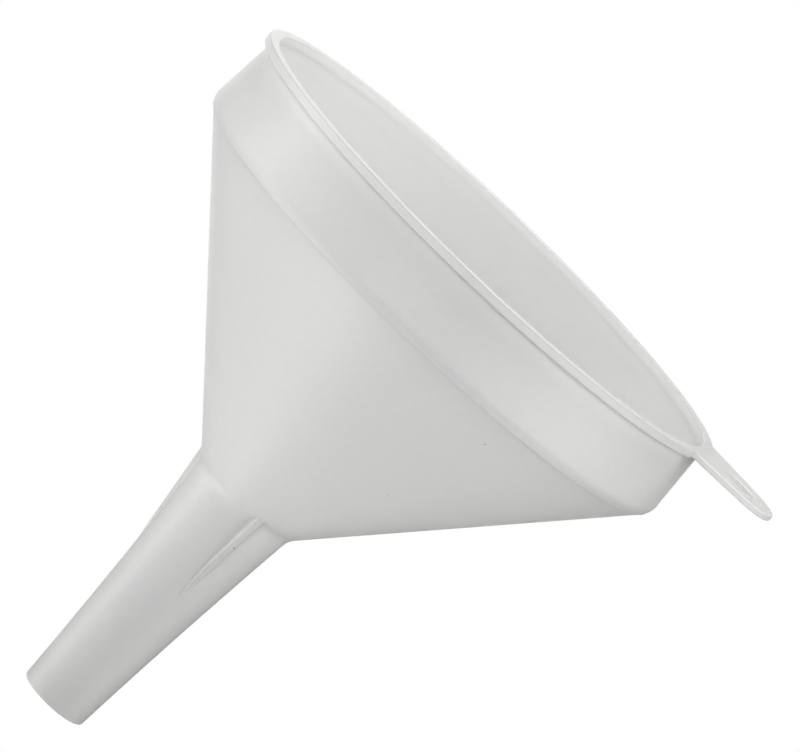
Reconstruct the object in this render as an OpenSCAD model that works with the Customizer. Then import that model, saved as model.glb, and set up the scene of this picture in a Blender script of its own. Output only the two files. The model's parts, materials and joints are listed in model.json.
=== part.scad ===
/* [Mouth] */
// Outside diameter of the flange round the mouth
mouth_d = 200; // [198:0.5:206]
// Thickness of the flange
flange_t = 3; // [2.6:0.1:4]
// How far the flange stands out past the collar right under it
flange_lip = 2.5; // [2:0.1:5]
// Radius on the flange's outer edges
edge_r = 0.4; // [0.2:0.1:1.1]

/* [Bowl] */
// Height from the spout's outlet to the mouth
total_h = 214; // [205:0.5:225]
// Thickness of every wall, square to its surface
wall_t = 1.6; // [1:0.1:2]
// Depth from the mouth to the corner between the collar and the cone
knee_depth = 27.8; // [20:0.1:34]
// Outside diameter at that corner, before it is rounded
knee_d = 199; // [194:0.1:204]
// Radius of the rounded shoulder at that corner
shoulder_r = 5.5; // [3:0.1:10]

/* [Spout] */
// Height of the corner between the cone and the spout
spout_l = 94.2; // [80:0.1:105]
// Outside diameter at that corner, before the fillet
neck_d = 40; // [34:0.1:42]
// Radius of the fillet under the cone
neck_r = 8; // [3:0.5:12]
// Outside diameter of the outlet
outlet_d = 25.3; // [20:0.1:28]
// How far the spout's sides draw in half way along
spout_waist = 0.45; // [0:0.05:0.6]
// Radius on the outlet's outer edge
outlet_edge_r = 0.5; // [0.1:0.1:0.8]

/* [Vent ribs] */
// Thickness of a rib
rib_t = 2.4; // [1.5:0.1:3]
// How far a rib stands out where it runs into the cone, from the axis
rib_reach = 23.1; // [22.8:0.1:25]
// Height at which a rib dies out on the spout
rib_foot_h = 58; // [45:1:70]

/* [Hanging tab] */
// Reach of the tab past the flange
tab_reach = 28.9; // [26:0.1:34]
// Width of the tab at the flange
tab_root_w = 42.4; // [38:0.1:50]
// Width where the rounded end starts
tab_end_w = 33.3; // [28:0.1:36]
// Length of the rounded end
tab_end_l = 12.3; // [8:0.1:16]
// Thickness of the tab
tab_t = 2.1; // [1.6:0.1:2.4]
// Depth of the step that the tab's root fills in the flange's edge
tab_root_in = 1.2; // [0.9:0.1:2]
// Diameter of the hanging hole
hang_hole_d = 12.5; // [6:0.1:14]
// Distance from the flange's edge to the hole's centre
hang_hole_in = 14.2; // [11:0.1:15]

/* [Hidden] */

MILKY = [0.87, 0.87, 0.86];
ROUND_FN = 180;
ARC_STEPS = 8;
TAB_STEPS = 24;
RIB_PITCH = 120;
RIB_START = 60;
RIB_OVERRUN = 4;
CUT_OVER = 1;
// Half angle at which the tab's plan starts, well inside the flange
TAB_START_ANGLE = 20;

mouth_r = mouth_d / 2;
flange_z = total_h - flange_t;
tab_z = total_h - tab_t;
tab_root_r = mouth_r - tab_root_in;

// Corners of the outer profile as [radius, height], from the outlet up to the flange
outlet_in = [outlet_d / 2 - wall_t, 0];
outlet = [outlet_d / 2, 0];
neck = [neck_d / 2, spout_l];
waist = (outlet + neck) / 2 - [spout_waist, 0];
knee = [knee_d / 2, total_h - knee_depth];
collar_top = [mouth_r - flange_lip, flange_z];

function unit(v) = v / norm(v);
function turned(v, a) = [v[0] * cos(a) - v[1] * sin(a), v[0] * sin(a) + v[1] * cos(a)];
function reversed(list) = [for (i = [len(list) - 1 : -1 : 0]) list[i]];
function last(list) = list[len(list) - 1];

// The arc that rounds corner q on the way p - q - s. A shift moves it that far to the left of the way.
function corner_arc(p, q, s, r, shift = 0) =
    let (
        u = unit(q - p),
        v = unit(s - q),
        side = sign(cross(u, v)),
        angle = acos(u * v),
        left = turned(u, 90),
        start = q - u * r * tan(angle / 2),
        centre = start + left * r * side,
        arm = -left * side * (r - shift * side)
    )
    [for (i = [0 : ARC_STEPS]) centre + turned(arm, side * angle * i / ARC_STEPS)];

function neck_arc(shift) = corner_arc(waist, neck, knee, neck_r, shift);
function shoulder_arc(shift) = corner_arc(neck, knee, collar_top, shoulder_r, shift);

// Height of the cone's outer surface at a radius
function cone_z(r) = neck[1] + (r - neck[0]) * (knee[1] - neck[1]) / (knee[0] - neck[0]);
// Radius of the spout's outer surface at a height above the waist
function spout_r(z) = waist[0] + (z - waist[1]) * (neck[0] - waist[0]) / (neck[1] - waist[1]);

module revolved(profile) {
    rotate_extrude($fn = ROUND_FN) polygon(profile);
}

// Everything inside the outer surface of the spout and the cone, down to the axis
module filled_body() {
    revolved(concat([[0, 0], outlet], [waist], neck_arc(0), [knee, [0, knee[1]]]));
}

module tab_plan() {
    end_x = mouth_r + tab_reach - tab_end_l;
    round_end = [
        for (i = [0 : TAB_STEPS])
            let (a = 90 - 180 * i / TAB_STEPS)
            [end_x + tab_end_l * cos(a), tab_end_w / 2 * sin(a)]
    ];
    flare = (tab_root_w - tab_end_w) / (2 * (end_x - mouth_r));
    start_x = tab_root_r * cos(TAB_START_ANGLE);
    start_w = tab_end_w / 2 + flare * (end_x - start_x);
    polygon(concat([[start_x, -start_w], [start_x, start_w]], round_end));
}

module tab_plate() {
    difference() {
        translate([0, 0, tab_z]) linear_extrude(tab_t) tab_plan();
        translate([0, 0, tab_z - CUT_OVER])
            cylinder(h = tab_t + 2 * CUT_OVER, r = tab_root_r, $fn = ROUND_FN);
    }
}

module rim_flange() {
    inner_r = collar_top[0] - wall_t;
    low_in = [inner_r, flange_z];
    low_out = [mouth_r, flange_z];
    high_out = [mouth_r, total_h];
    high_in = [inner_r, total_h];
    color(MILKY)
        difference() {
            revolved(concat(
                [high_in, low_in],
                corner_arc(low_in, low_out, high_out, edge_r),
                corner_arc(low_out, high_out, high_in, edge_r)
            ));
            tab_plate();
        }
}

module hanging_tab() {
    color(MILKY)
        difference() {
            tab_plate();
            translate([mouth_r + hang_hole_in, 0, tab_z - CUT_OVER])
                cylinder(h = tab_t + 2 * CUT_OVER, d = hang_hole_d, $fn = ROUND_FN);
        }
}

module collar() {
    outer = concat(shoulder_arc(0), [collar_top]);
    inner = concat(shoulder_arc(wall_t), [collar_top - [wall_t, 0]]);
    color(MILKY) revolved(concat(outer, reversed(inner)));
}

module cone() {
    color(MILKY)
        revolved([
            last(neck_arc(0)),
            shoulder_arc(0)[0],
            shoulder_arc(wall_t)[0],
            last(neck_arc(wall_t))
        ]);
}

module spout() {
    outer = concat(corner_arc(outlet_in, outlet, waist, outlet_edge_r), [waist], neck_arc(0));
    inner = concat([outlet_in, waist - [wall_t, 0]], neck_arc(wall_t));
    color(MILKY) revolved(concat(outer, reversed(inner)));
}

// One gusset in the corner between the cone and the spout
module vent_rib(number) {
    top = [rib_reach, cone_z(rib_reach)];
    foot = [spout_r(rib_foot_h), rib_foot_h];
    along = unit(top - foot) * RIB_OVERRUN;
    color(MILKY)
        difference() {
            rotate([90, 0, RIB_START + RIB_PITCH * (number - 1)])
                linear_extrude(rib_t, center = true)
                    polygon([[0, foot[1]], foot - along, top + along, [0, top[1]]]);
            filled_body();
        }
}

module vent_rib_1() { vent_rib(1); }
module vent_rib_2() { vent_rib(2); }
module vent_rib_3() { vent_rib(3); }

rim_flange();
hanging_tab();
collar();
cone();
spout();
vent_rib_1();
vent_rib_2();
vent_rib_3();
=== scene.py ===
import json
import math

import bmesh
import bpy
from mathutils import Matrix, Vector


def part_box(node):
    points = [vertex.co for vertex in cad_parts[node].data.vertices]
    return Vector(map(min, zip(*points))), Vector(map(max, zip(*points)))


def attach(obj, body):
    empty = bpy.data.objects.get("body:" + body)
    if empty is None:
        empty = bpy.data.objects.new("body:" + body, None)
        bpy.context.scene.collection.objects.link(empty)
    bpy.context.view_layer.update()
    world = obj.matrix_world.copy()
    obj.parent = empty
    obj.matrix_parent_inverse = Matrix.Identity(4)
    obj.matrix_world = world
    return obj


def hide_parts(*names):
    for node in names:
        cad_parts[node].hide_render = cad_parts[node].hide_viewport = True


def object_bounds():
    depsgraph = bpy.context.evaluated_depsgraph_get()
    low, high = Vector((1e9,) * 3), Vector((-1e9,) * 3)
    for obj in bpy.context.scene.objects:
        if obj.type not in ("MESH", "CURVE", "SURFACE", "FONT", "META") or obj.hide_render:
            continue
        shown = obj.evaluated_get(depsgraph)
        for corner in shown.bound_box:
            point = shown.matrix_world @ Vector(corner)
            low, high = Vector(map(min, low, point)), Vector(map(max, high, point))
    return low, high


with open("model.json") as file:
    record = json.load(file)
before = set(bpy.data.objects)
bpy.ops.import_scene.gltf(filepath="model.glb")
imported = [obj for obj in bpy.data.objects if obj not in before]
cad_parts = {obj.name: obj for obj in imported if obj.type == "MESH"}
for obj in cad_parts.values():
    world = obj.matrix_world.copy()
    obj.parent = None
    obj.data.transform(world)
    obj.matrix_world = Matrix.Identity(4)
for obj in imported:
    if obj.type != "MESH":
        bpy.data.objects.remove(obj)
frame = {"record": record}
cad_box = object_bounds()

MM = 0.001
SEGMENTS = 360
ARC_STEPS = 12

# Corners sharper than SHARP_ANGLE stay sharp, and points closer than MERGE become one
SHARP_ANGLE = math.radians(35)
MERGE = 0.0005 * MM
NORMAL_WEIGHT = 100

# Driving sizes of the moulding, as in the CAD model
WALL = 1.6 * MM
FLANGE_LIP = 2.5 * MM
KNEE_R = 99.5 * MM
KNEE_DEPTH = 27.8 * MM
SHOULDER_R = 5.5 * MM
NECK_CORNER_R = 20 * MM
NECK_CORNER_Z = 94.2 * MM
NECK_R = 8 * MM
OUTLET_R = 12.65 * MM
SPOUT_WAIST = 0.45 * MM
TAB_ROOT_IN = 1.2 * MM
TAB_ROOT_W = 42.4 * MM
TAB_END_W = 33.3 * MM
TAB_END_L = 12.3 * MM
RIB_REACH = 23.1 * MM
RIB_FOOT_Z = 58 * MM
RIB_ANGLES = {"vent_rib_1": 60, "vent_rib_2": 180, "vent_rib_3": 300}

# Rounded outer edges of the flange and the outlet, as in the CAD model
MOUTH_EDGE_R = 0.4 * MM
OUTLET_EDGE_R = 0.5 * MM

# Rounded edges of the mouth's inside and the tab, which only the looks have
MOUTH_INNER_R = 0.5 * MM
TAB_EDGE_R = 0.5 * MM

# Section of a rib: half its width, the fillet at its base, how far it sinks into the wall, how much
# wider than high its curves are, and the fillet's largest share of the rib's height
RIB_HALF_W = 1.3 * MM
RIB_FLARE = 1.5 * MM
RIB_SUNK = 0.3 * MM
RIB_LEAST_RISE = RIB_SUNK / 10
RIB_SPREAD = 1.7
RIB_FILLET_SHARE = 0.5

# A rib starts at a share of its full width at the foot, and has all of it a third of the way up
RIB_FOOT_SHARE = 0.35
RIB_WIDENING = 3
RIB_STATIONS = 44
RIB_ARC_STEPS = 10

# Steps along the tab's outline and the cone
TAB_ROOT_STEPS = 28
TAB_SIDE_STEPS = 10
TAB_END_STEPS = 60
HOLE_STEPS = 72
CONE_STEPS = 40

# Bead of the mould's witness line, and where the shoulder's arc goes on after it, in bead widths
BEAD_H = 0.14 * MM
BEAD_W = 0.7 * MM
BEAD_STEPS = 8
BEAD_CLEAR = 1.1

# Angles in radians that the flange's even steps keep from the tab's sides, inside and outside them
INNER_MARGIN = 0.004
OUTER_MARGIN = 0.01

# Share of the light that passes through the plastic
GLOW = 0.35

# Lowest and highest roughness of the satin surface
SATIN = (0.29, 0.4)

# Whiteness at some heights, the plastic's own tone with painted light and shade in it: a painted glow
# makes the flange whiter than the walls, painted shade makes the narrow spout less white, and painted
# shade makes the flat top of the flange and the tab duller
WHITENESS_AND_PAINTED_LIGHT = [
    (0, 0.87),
    (20 * MM, 0.9),
    (80 * MM, 0.92),
    (115 * MM, 0.94),
    (205 * MM, 0.94),
    (211 * MM, 0.985),
    (213.6 * MM, 0.985),
    (213.9 * MM, 0.84),
]

# Only cells whose random value is above this have a speck
SPECK_RARITY = 0.82


# ---------- places worked out from the frame ----------

flange_low, flange_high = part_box("rim_flange")
tab_low, tab_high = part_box("hanging_tab")
mouth_r = -flange_low.x
mouth_z = flange_high.z
flange_z = flange_low.z
tab_z = tab_low.z
tab_tip = tab_high.x
tab_root_r = mouth_r - TAB_ROOT_IN
mounts = {m["name"]: m for m in frame["record"]["mounts"]}
hole = mounts["hang_hole"]
hole_x = hole["pos_m"][0]
hole_r = hole["dims"]["r_mm"] * MM

# Corners of the outer profile as (radius, height)
outlet_in = Vector((OUTLET_R - WALL, 0))
outlet = Vector((OUTLET_R, 0))
neck = Vector((NECK_CORNER_R, NECK_CORNER_Z))
waist = (outlet + neck) / 2 - Vector((SPOUT_WAIST, 0))
knee = Vector((KNEE_R, mouth_z - KNEE_DEPTH))
collar_top = Vector((mouth_r - FLANGE_LIP, flange_z))


# ---------- curves of the profile ----------

def turned(v, angle):
    return Matrix.Rotation(angle, 2) @ v


def subdivided(a, b, steps):
    return [a.lerp(b, i / steps) for i in range(steps + 1)]


def step_angle(k):
    return 2 * math.pi * k / SEGMENTS


def polar(radius, angle, height):
    """The point at a distance from the axis, an angle about it and a height."""
    return (radius * math.cos(angle), radius * math.sin(angle), height)


def corner_arc(p, q, s, radius, shift=0.0, steps=ARC_STEPS):
    """Points of the arc that rounds corner q on the way p - q - s, moved by shift to the left of the way."""
    u = (q - p).normalized()
    v = (s - q).normalized()
    side = math.copysign(1, u.x * v.y - u.y * v.x)
    angle = math.acos(max(-1.0, min(1.0, u.dot(v))))
    left = turned(u, math.pi / 2)
    start = q - u * radius * math.tan(angle / 2)
    centre = start + left * radius * side
    arm = -left * side * (radius - shift * side)
    return [centre + turned(arm, side * angle * i / steps) for i in range(steps + 1)]


def neck_arc(shift):
    return corner_arc(waist, neck, knee, NECK_R, shift)


def shoulder_arc(shift):
    return corner_arc(neck, knee, collar_top, SHOULDER_R, shift)


def waist_curve(shift, steps=16):
    """The spout's side from the outlet to the neck's fillet, one smooth curve that draws in half way."""
    end = neck_arc(shift)[0]
    start = outlet - Vector((shift, 0))
    points = []
    for i in range(1, steps):
        t = i / steps
        points.append(start.lerp(end, t) - Vector((4 * t * (1 - t) * SPOUT_WAIST, 0)))
    return points


def cone_height(radius):
    return neck.y + (radius - neck.x) * (knee.y - neck.y) / (knee.x - neck.x)


def spout_radius(height):
    return waist.x + (height - waist.y) * (neck.x - waist.x) / (neck.y - waist.y)


def outer_radius(height):
    """Radius of the outer surface at a height, from the outlet up through the neck to the cone."""
    outline = [outlet] + waist_curve(0) + neck_arc(0) + [shoulder_arc(0)[0]]
    for low, high in zip(outline, outline[1:]):
        if low.y <= height <= high.y:
            return low.x + (high.x - low.x) * (height - low.y) / (high.y - low.y)
    return outline[-1].x


# ---------- mesh helpers ----------

def finish_piece(name, bm, node):
    """Makes the object of a piece, smooth with sharp corners kept, and ties it to the frame."""
    bmesh.ops.remove_doubles(bm, verts=bm.verts, dist=MERGE)
    bmesh.ops.dissolve_degenerate(bm, edges=bm.edges, dist=MERGE)
    bmesh.ops.recalc_face_normals(bm, faces=bm.faces)
    for face in bm.faces:
        face.smooth = True
    for edge in bm.edges:
        edge.smooth = edge.calc_face_angle(0) < SHARP_ANGLE
    mesh = bpy.data.meshes.new(name)
    bm.to_mesh(mesh)
    bm.free()
    piece = bpy.data.objects.new(name, mesh)
    bpy.context.scene.collection.objects.link(piece)
    piece.data.materials.append(milky_plastic())
    shading = piece.modifiers.new("even_shading", "WEIGHTED_NORMAL")
    shading.keep_sharp = True
    shading.weight = NORMAL_WEIGHT
    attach(piece, "root")
    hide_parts(node)


def join_rings(bm, rings):
    """Faces between neighbouring rings of a closed row of closed rings."""
    count = len(rings[0])
    for ring, following in zip(rings, rings[1:] + rings[:1]):
        for i in range(count):
            j = (i + 1) % count
            corners = [ring[i], following[i], following[j], ring[j]]
            if len(set(corners)) == 4:
                bm.faces.new(corners)


def bridge_rings(bm, rings):
    """Faces between neighbouring rings of an open row of closed rings."""
    for ring, following in zip(rings, rings[1:]):
        for i in range(len(ring)):
            j = (i + 1) % len(ring)
            bm.faces.new((ring[i], ring[j], following[j], following[i]))


def ring_edges(bm, ring):
    return [bm.edges.get((ring[i - 1], ring[i])) for i in range(len(ring))]


def make_revolved(name, profile, node):
    """A closed wall turned about the axis from its closed (radius, height) outline."""
    bm = bmesh.new()
    rings = []
    for k in range(SEGMENTS):
        rings.append([bm.verts.new(polar(p.x, step_angle(k), p.y)) for p in profile])
    join_rings(bm, rings)
    finish_piece(name, bm, node)


# ---------- material ----------

def tree_tools(tree):
    """Two short helpers that add a node with its inputs set, and link two sockets."""
    def add(kind, settings=None, **inputs):
        node = tree.nodes.new(kind)
        for key, value in (settings or {}).items():
            setattr(node, key, value)
        for key, value in inputs.items():
            node.inputs[key.replace("_", " ")].default_value = value
        return node

    def link(source, target):
        tree.links.new(source, target)

    return add, link


def add_ramp(add, stops):
    """A colour ramp with grey stops given as (position, value), lowest first."""
    node = add("ShaderNodeValToRGB")
    elements = node.color_ramp.elements
    elements[0].position = stops[0][0]
    elements[1].position = stops[-1][0]
    for position, _ in stops[1:-1]:
        elements.new(position)
    for element in elements:
        value = min(stops, key=lambda stop: abs(stop[0] - element.position))[1]
        element.color = (value, value, value, 1)
    return node


def add_noise(add, link, place, **inputs):
    """The grey value of a noise over the object's own coordinates."""
    node = add("ShaderNodeTexNoise", **inputs)
    link(place, node.inputs["Vector"])
    return node.outputs["Fac"]


def add_product(add, link, first, second):
    """Two colours multiplied together."""
    node = add("ShaderNodeMixRGB", {"blend_type": "MULTIPLY"}, Fac=1)
    link(first, node.inputs["Color1"])
    link(second, node.inputs["Color2"])
    return node.outputs["Color"]


# Colour by height, with a painted glow on the flange and painted shade on the spout and the flat tops
def whiteness_and_painted_light_by_height(add, link, place):
    axes = add("ShaderNodeSeparateXYZ")
    link(place, axes.inputs[0])
    height = add("ShaderNodeMath", {"operation": "DIVIDE"})
    height.inputs[1].default_value = mouth_z
    link(axes.outputs["Z"], height.inputs[0])
    ramp = add_ramp(add, [(z / mouth_z, value) for z, value in WHITENESS_AND_PAINTED_LIGHT])
    ramp.color_ramp.interpolation = "EASE"
    link(height.outputs[0], ramp.inputs[0])
    return ramp.outputs["Color"]


def cloudy_tint(add, link, place):
    """Slow clouds in the milk, from a neutral tint to a warm one."""
    clouds = add_noise(add, link, place, Scale=26.0, Detail=3.0, Roughness=0.55)
    tint = add("ShaderNodeMixRGB", Color1=(0.985, 0.985, 0.985, 1), Color2=(1.0, 0.997, 0.985, 1))
    link(clouds, tint.inputs["Fac"])
    return tint.outputs["Color"]


def rare_specks(add, link, place):
    """Strength of a few tiny specks, one in some of the cells."""
    cells = add("ShaderNodeTexVoronoi", Scale=75.0, Randomness=1.0)
    link(place, cells.inputs["Vector"])
    dot = add_ramp(add, [(0.018, 1.0), (0.034, 0.0)])
    link(cells.outputs["Distance"], dot.inputs[0])
    chance = add("ShaderNodeSeparateColor")
    link(cells.outputs["Color"], chance.inputs[0])
    rare = add("ShaderNodeMath", {"operation": "GREATER_THAN"})
    rare.inputs[1].default_value = SPECK_RARITY
    link(chance.outputs[0], rare.inputs[0])
    speck = add("ShaderNodeMath", {"operation": "MULTIPLY"})
    link(dot.outputs["Color"], speck.inputs[0])
    link(rare.outputs[0], speck.inputs[1])
    return speck.outputs[0]


def milky_colour_with_painted_light(add, link, place, grain):
    """The colour by height with its painted glow and shade, clouded and finely mottled, with a few dark
    specks.
    """
    whiteness_with_painted_light = whiteness_and_painted_light_by_height(add, link, place)
    tinted = add_product(add, link, whiteness_with_painted_light, cloudy_tint(add, link, place))
    mottle = add_ramp(add, [(0.3, 0.982), (0.7, 1.0)])
    link(grain, mottle.inputs[0])
    mottled = add_product(add, link, tinted, mottle.outputs["Color"])
    colour = add("ShaderNodeMixRGB", Color2=(0.32, 0.3, 0.28, 1))
    link(rare_specks(add, link, place), colour.inputs["Fac"])
    link(mottled, colour.inputs["Color1"])
    return colour.outputs["Color"]


def satin_roughness(add, link, place):
    """A satin sheen that is a little uneven."""
    sheen = add_noise(add, link, place, Scale=60.0, Detail=4.0, Roughness=0.6)
    satin = add("ShaderNodeMapRange", To_Min=SATIN[0], To_Max=SATIN[1])
    link(sheen, satin.inputs["Value"])
    return satin.outputs["Result"]


def moulded_surface(add, link, place, grain):
    """Slow waves of shrinkage under a fine moulded grain."""
    waves = add_noise(add, link, place, Scale=45.0, Detail=1.0)
    wavy = add("ShaderNodeBump", Strength=0.35, Distance=0.12 * MM)
    link(waves, wavy.inputs["Height"])
    fine = add("ShaderNodeBump", Strength=0.25, Distance=0.012 * MM)
    link(grain, fine.inputs["Height"])
    link(wavy.outputs["Normal"], fine.inputs["Normal"])
    return fine.outputs["Normal"]


def milky_plastic():
    """Natural polypropylene, made once: milky, satin, and it lets some light through."""
    found = bpy.data.materials.get("milky_polypropylene")
    if found:
        return found
    material = bpy.data.materials.new("milky_polypropylene")
    material.use_nodes = True
    tree = material.node_tree
    tree.nodes.clear()
    add, link = tree_tools(tree)
    output = add("ShaderNodeOutputMaterial")
    body = add("ShaderNodeBsdfPrincipled", {"name": "body"}, IOR=1.49)
    glow = add("ShaderNodeBsdfTranslucent", {"name": "glow"})
    mix = add("ShaderNodeMixShader", {"name": "mix"}, Fac=GLOW)
    link(body.outputs[0], mix.inputs[1])
    link(glow.outputs[0], mix.inputs[2])
    link(mix.outputs[0], output.inputs["Surface"])
    place = add("ShaderNodeTexCoord").outputs["Object"]
    grain = add_noise(add, link, place, Scale=420.0, Detail=2.0, Roughness=0.6)
    colour = milky_colour_with_painted_light(add, link, place, grain)
    link(colour, body.inputs["Base Color"])
    link(colour, glow.inputs["Color"])
    link(satin_roughness(add, link, place), body.inputs["Roughness"])
    link(moulded_surface(add, link, place, grain), body.inputs["Normal"])
    return material


# ---------- pieces ----------

def tab_side_angle(radius):
    """Angle at which the tab's straight side crosses a circle about the axis."""
    flare = (TAB_ROOT_W - TAB_END_W) / 2 / (tab_tip - TAB_END_L - mouth_r)
    base = TAB_ROOT_W / 2 + flare * mouth_r
    a = 1 + flare * flare
    b = -2 * flare * base
    c = base * base - radius * radius
    x = (-b + math.sqrt(b * b - 4 * a * c)) / (2 * a)
    return math.atan2(base - flare * x, x)


def tab_step(count):
    """A number of points in along the bottom of the step for the tab, then up its back."""
    half = count // 2
    inward = tab_root_r - mouth_r
    upward = mouth_z - tab_z
    bottom = [Vector((mouth_r + inward * (i / half), tab_z)) for i in range(half + 1)]
    rest = count - 1 - half
    back = [Vector((tab_root_r, tab_z + upward * i / rest)) for i in range(1, rest + 1)]
    return bottom + back


def flange_profiles():
    """Closed (radius, height) outlines of the flange: the plain one, and the one with the tab's step."""
    inner_r = collar_top.x - WALL
    low_in = Vector((inner_r, flange_z))
    low_out = Vector((mouth_r, flange_z))
    high_out = Vector((mouth_r, mouth_z))
    high_in = Vector((inner_r, mouth_z))
    low_edge = corner_arc(low_in, low_out, high_out, MOUTH_EDGE_R)
    high_edge = corner_arc(low_out, high_out, high_in, MOUTH_EDGE_R)
    inner_edge = corner_arc(high_out, high_in, low_in, MOUTH_INNER_R)
    plain = [low_in] + low_edge + high_edge + inner_edge
    stepped = [low_in] + low_edge + tab_step(len(high_edge)) + inner_edge
    return plain, stepped


def make_rim_flange():
    """Even steps round the mouth, with rings along the tab's two sides where the outline changes."""
    plain, stepped = flange_profiles()
    bm = bmesh.new()
    rings = []

    def add_ring(profile, angle_of):
        rings.append([bm.verts.new(polar(p.x, angle_of(p.x), p.y)) for p in profile])

    def at_side(sign):
        return lambda r: sign * tab_side_angle(min(mouth_r, max(r, tab_root_r)))

    def at_step(k):
        return lambda r: step_angle(k)

    edge_angle = tab_side_angle(mouth_r)
    first = edge_angle + OUTER_MARGIN
    last = 2 * math.pi - first
    half_turn = SEGMENTS // 2
    inside = [k for k in range(-half_turn, half_turn) if abs(step_angle(k)) < edge_angle - INNER_MARGIN]
    outside = [k for k in range(SEGMENTS) if first < step_angle(k) < last]
    add_ring(plain, at_side(-1))
    add_ring(stepped, at_side(-1))
    for k in inside:
        add_ring(stepped, at_step(k))
    add_ring(stepped, at_side(1))
    add_ring(plain, at_side(1))
    for k in outside:
        add_ring(plain, at_step(k))
    join_rings(bm, rings)
    finish_piece("rim_flange_shell", bm, "rim_flange")


def tab_outline():
    """Closed outline of the tab, its root first and then round its free edge, as (x, y) points."""
    end_x = tab_tip - TAB_END_L
    half = tab_side_angle(tab_root_r)
    root = [
        Vector((tab_root_r * math.cos(a), tab_root_r * math.sin(a)))
        for a in (half - 2 * half * i / TAB_ROOT_STEPS for i in range(TAB_ROOT_STEPS + 1))
    ]
    end = [
        Vector((end_x + TAB_END_L * math.cos(a), TAB_END_W / 2 * math.sin(a)))
        for a in (math.pi * (i / TAB_END_STEPS - 0.5) for i in range(TAB_END_STEPS + 1))
    ]
    low_side = subdivided(root[-1], end[0], TAB_SIDE_STEPS)[1:-1]
    high_side = subdivided(end[-1], root[0], TAB_SIDE_STEPS)[1:-1]
    return root + low_side + end + high_side


def drawn_in(outline, amount):
    """The tab's outline with its free edge moved inwards and its root left where it is."""
    count = len(outline)
    moved = outline[:TAB_ROOT_STEPS + 1]
    for i in range(TAB_ROOT_STEPS + 1, count):
        way = (outline[(i + 1) % count] - outline[i - 1]).normalized()
        moved.append(outline[i] + Vector((-way.y, way.x)) * amount)
    return moved


def hole_edge(amount):
    """The hole's edge, widened by an amount."""
    radius = hole_r + amount
    turns = [2 * math.pi * i / HOLE_STEPS for i in range(HOLE_STEPS)]
    return [Vector((hole_x + radius * math.cos(a), radius * math.sin(a))) for a in turns]


def edge_levels(low, high, radius, steps=6):
    """Heights between two faces, each with how far a rounded edge has drawn in there."""
    turns = [math.pi / 2 * i / steps for i in range(steps + 1)]
    rise = [(radius * (1 - math.cos(a)), radius * (1 - math.sin(a))) for a in turns]
    return [(low + z, inset) for z, inset in rise] + [(high - z, inset) for z, inset in rise[::-1]]


def make_hanging_tab():
    """A plate with rounded edges round its free side and its hole."""
    outline = tab_outline()
    bm = bmesh.new()
    sides = []
    bores = []
    for z, inset in edge_levels(tab_z, mouth_z, TAB_EDGE_R):
        sides.append([bm.verts.new((p.x, p.y, z)) for p in drawn_in(outline, inset)])
        bores.append([bm.verts.new((p.x, p.y, z)) for p in hole_edge(inset)])
    bridge_rings(bm, sides)
    bridge_rings(bm, bores)
    for face in (0, -1):
        loops = ring_edges(bm, sides[face]) + ring_edges(bm, bores[face])
        bmesh.ops.triangle_fill(bm, use_beauty=True, use_dissolve=False, edges=loops)
    finish_piece("hanging_tab_plate", bm, "hanging_tab")


def make_collar():
    """The collar and its rounded shoulder, with the thin witness line of the mould where the cone starts."""
    foot = shoulder_arc(0)
    along = (knee - neck).normalized()
    out = Vector((along.y, -along.x))
    bead = []
    for i in range(BEAD_STEPS + 1):
        t = i / BEAD_STEPS
        bead.append(foot[0] + along * BEAD_W * t + out * BEAD_H * math.sin(math.pi * t))
    rest = [p for p in foot if (p - foot[0]).length > BEAD_W * BEAD_CLEAR]
    outer = bead + rest + [collar_top]
    inner = shoulder_arc(WALL) + [collar_top - Vector((WALL, 0))]
    make_revolved("collar_shell", outer + inner[::-1], "collar")


def make_cone():
    outer = subdivided(neck_arc(0)[-1], shoulder_arc(0)[0], CONE_STEPS)
    inner = subdivided(shoulder_arc(WALL)[0], neck_arc(WALL)[-1], CONE_STEPS)
    make_revolved("cone_shell", outer + inner, "cone")


def make_spout():
    outlet_edge = corner_arc(outlet_in, outlet, waist, OUTLET_EDGE_R)
    outer = outlet_edge + waist_curve(0)[1:] + neck_arc(0)
    inner = [outlet_in] + waist_curve(WALL) + neck_arc(WALL)
    make_revolved("spout_tube", outer + inner[::-1], "spout")


def rib_section(rise, half):
    """Half section of a rib as (width, height): a hollow fillet at the foot, then a round crown."""
    foot_h = min(RIB_FLARE, rise * RIB_FILLET_SHARE)
    foot_w = foot_h * RIB_SPREAD
    crown_h = rise - foot_h
    crown_w = min(half, crown_h * RIB_SPREAD)
    turns = [math.pi / 2 * i / RIB_ARC_STEPS for i in range(RIB_ARC_STEPS + 1)]
    points = [(half + foot_w, -RIB_SUNK)]
    points += [(half + foot_w * (1 - math.sin(a)), foot_h * (1 - math.cos(a))) for a in turns]
    points += [(half - crown_w * (1 - math.cos(a)), foot_h + crown_h * math.sin(a)) for a in turns[1:]]
    points.append((0, rise))
    return points


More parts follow.
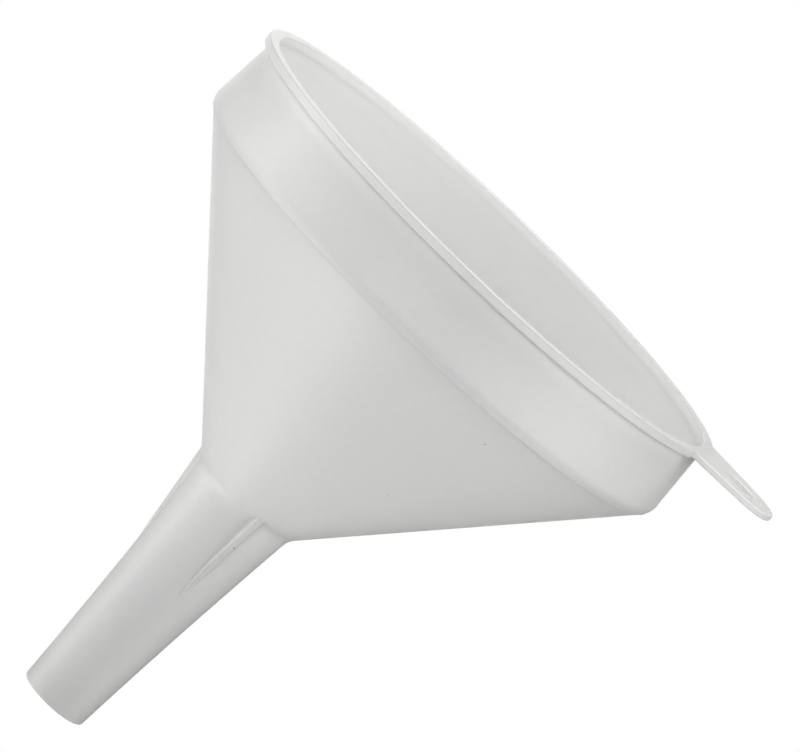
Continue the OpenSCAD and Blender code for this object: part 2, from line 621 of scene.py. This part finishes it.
def make_vent_rib(node):
    """A thin gusset with a rounded back and a fillet at its base, from the spout's side up into the cone."""
    angle = math.radians(RIB_ANGLES[node])
    top = Vector((RIB_REACH, cone_height(RIB_REACH)))
    foot = Vector((spout_radius(RIB_FOOT_Z), RIB_FOOT_Z))
    bm = bmesh.new()
    rings = []
    for k in range(RIB_STATIONS + 1):
        t = k / RIB_STATIONS
        back = foot.lerp(top, t)
        surface = outer_radius(back.y)
        rise = max(back.x - surface, RIB_LEAST_RISE)
        share = RIB_FOOT_SHARE + (1 - RIB_FOOT_SHARE) * min(1, t * RIB_WIDENING)
        left = rib_section(rise, RIB_HALF_W * share)
        right = [(-y, h) for y, h in left[-2::-1]]
        ring = []
        for y, h in left + right:
            r = surface + h
            ring.append(bm.verts.new(polar(r, angle + y / r, back.y)))
        rings.append(ring)
    bridge_rings(bm, rings)
    bm.faces.new(rings[0])
    bm.faces.new(rings[-1][::-1])
    finish_piece(node + "_gusset", bm, node)


make_rim_flange()
make_hanging_tab()
make_collar()
make_cone()
make_spout()
for rib in RIB_ANGLES:
    make_vent_rib(rib)


# ---------- stage, light and camera ----------

CAMERA_AZIMUTH = math.radians(7.5)
CAMERA_AWAY = 1.667
CAMERA_UP = 0.4143
CAMERA_YAW = math.radians(0.3)
CAMERA_PITCH = math.radians(-8.675)
CAMERA_ROLL = math.radians(43.88)
CAMERA_LENS = 229.8
CAMERA_SENSOR_W = 36
CAMERA_CLIP_END = 50
FLOOR_HALF = 4.0
WHITE = (1, 1, 1, 1)

# Softboxes placed as the camera sees them: the clock angle in the picture, where 0 is overhead and 90
# is to the right, the angle away from the camera, both in degrees, and the power in watts
SOFTBOXES = {
    "front": (0, 15, 6),
    "front_right": (130, 40, 2.8),
    "left": (-110, 85, 8.5),
    "right": (115, 70, 7.5),
    "above_left": (-25, 75, 5.5),
    "above_right": (45, 85, 16),
    "below": (170, 85, 2.5),
    "behind": (0, 170, 4),
}
SOFTBOX_SIZE = (0.9, 0.9)

# One narrower softbox for the streak along the spout, placed in the same way
STRIP = (-64, 87, 5)
STRIP_SIZE = (1.2, 0.5)

# Distance of every softbox from the object's centre
LIGHT_AWAY = 1.3


def camera_axes():
    """The camera's place and the directions of its right, its up and its back."""
    turn = Matrix.Rotation(CAMERA_AZIMUTH, 3, "Z")
    place = turn @ Vector((0, -CAMERA_AWAY, CAMERA_UP))
    forward = turn @ Vector((
        math.sin(CAMERA_YAW) * math.cos(CAMERA_PITCH),
        math.cos(CAMERA_YAW) * math.cos(CAMERA_PITCH),
        math.sin(CAMERA_PITCH),
    ))
    level = turn @ Vector((math.cos(CAMERA_YAW), -math.sin(CAMERA_YAW), 0))
    upward = level.cross(forward)
    right = level * math.cos(CAMERA_ROLL) + upward * math.sin(CAMERA_ROLL)
    up = upward * math.cos(CAMERA_ROLL) - level * math.sin(CAMERA_ROLL)
    return place, right, up, -forward


def make_camera():
    place, right, up, back = camera_axes()
    camera = bpy.data.objects.new("camera", bpy.data.cameras.new("camera"))
    camera.data.lens = CAMERA_LENS
    camera.data.sensor_width = CAMERA_SENSOR_W
    camera.data.clip_end = CAMERA_CLIP_END
    camera.matrix_world = Matrix.Translation(place) @ Matrix((right, up, back)).transposed().to_4x4()
    bpy.context.scene.collection.objects.link(camera)
    bpy.context.scene.camera = camera


def floor_white():
    """A plain white that shines evenly."""
    material = bpy.data.materials.new("floor_white")
    material.use_nodes = True
    tree = material.node_tree
    tree.nodes.clear()
    add, link = tree_tools(tree)
    output = add("ShaderNodeOutputMaterial")
    white = add("ShaderNodeEmission", Color=WHITE, Strength=1.0)
    link(white.outputs[0], output.inputs["Surface"])
    return material


def make_floor():
    """A white floor at the outlet that only the camera sees: it lights nothing and takes no shadow."""
    z = cad_box[0][2]
    corners = [(x * FLOOR_HALF, y * FLOOR_HALF, z) for x, y in ((-1, -1), (1, -1), (1, 1), (-1, 1))]
    mesh = bpy.data.meshes.new("floor")
    mesh.from_pydata(corners, [], [(0, 1, 2, 3)])
    mesh.materials.append(floor_white())
    floor = bpy.data.objects.new("floor", mesh)
    floor.visible_diffuse = False
    floor.visible_glossy = False
    floor.visible_transmission = False
    floor.visible_shadow = False
    bpy.context.scene.collection.objects.link(floor)


def make_world():
    """A white surround that only the camera sees, so the softboxes do all the lighting."""
    world = bpy.data.worlds.new("studio")
    bpy.context.scene.world = world
    world.use_nodes = True
    background = world.node_tree.nodes["Background"]
    background.inputs["Color"].default_value = WHITE
    background.inputs["Strength"].default_value = 1.0
    world.cycles_visibility.diffuse = False
    world.cycles_visibility.glossy = False
    world.cycles_visibility.transmission = False
    world.cycles_visibility.scatter = False


def make_softbox(name, clock_degrees, off_axis_degrees, power, size):
    """A rectangular light that faces the object; its first side lies square to the line of sight."""
    _, right, up, back = camera_axes()
    clock = math.radians(clock_degrees)
    off_axis = math.radians(off_axis_degrees)
    outward = right * math.sin(clock) + up * math.cos(clock)
    way = back * math.cos(off_axis) + outward * math.sin(off_axis)
    side = way.cross(back).normalized()
    light = bpy.data.lights.new(name, "AREA")
    light.shape = "RECTANGLE"
    light.size, light.size_y = size
    light.energy = power
    lamp = bpy.data.objects.new(name, light)
    lamp.visible_camera = False
    centre = (Vector(cad_box[0]) + Vector(cad_box[1])) / 2
    axes = Matrix((side, way.cross(side), way)).transposed()
    lamp.matrix_world = Matrix.Translation(centre + way * LIGHT_AWAY) @ axes.to_4x4()
    bpy.context.scene.collection.objects.link(lamp)


make_camera()
make_floor()
make_world()
for softbox, placing in SOFTBOXES.items():
    make_softbox(softbox, *placing, SOFTBOX_SIZE)
make_softbox("strip", *STRIP, STRIP_SIZE)
bpy.context.scene.view_settings.view_transform = "Standard"
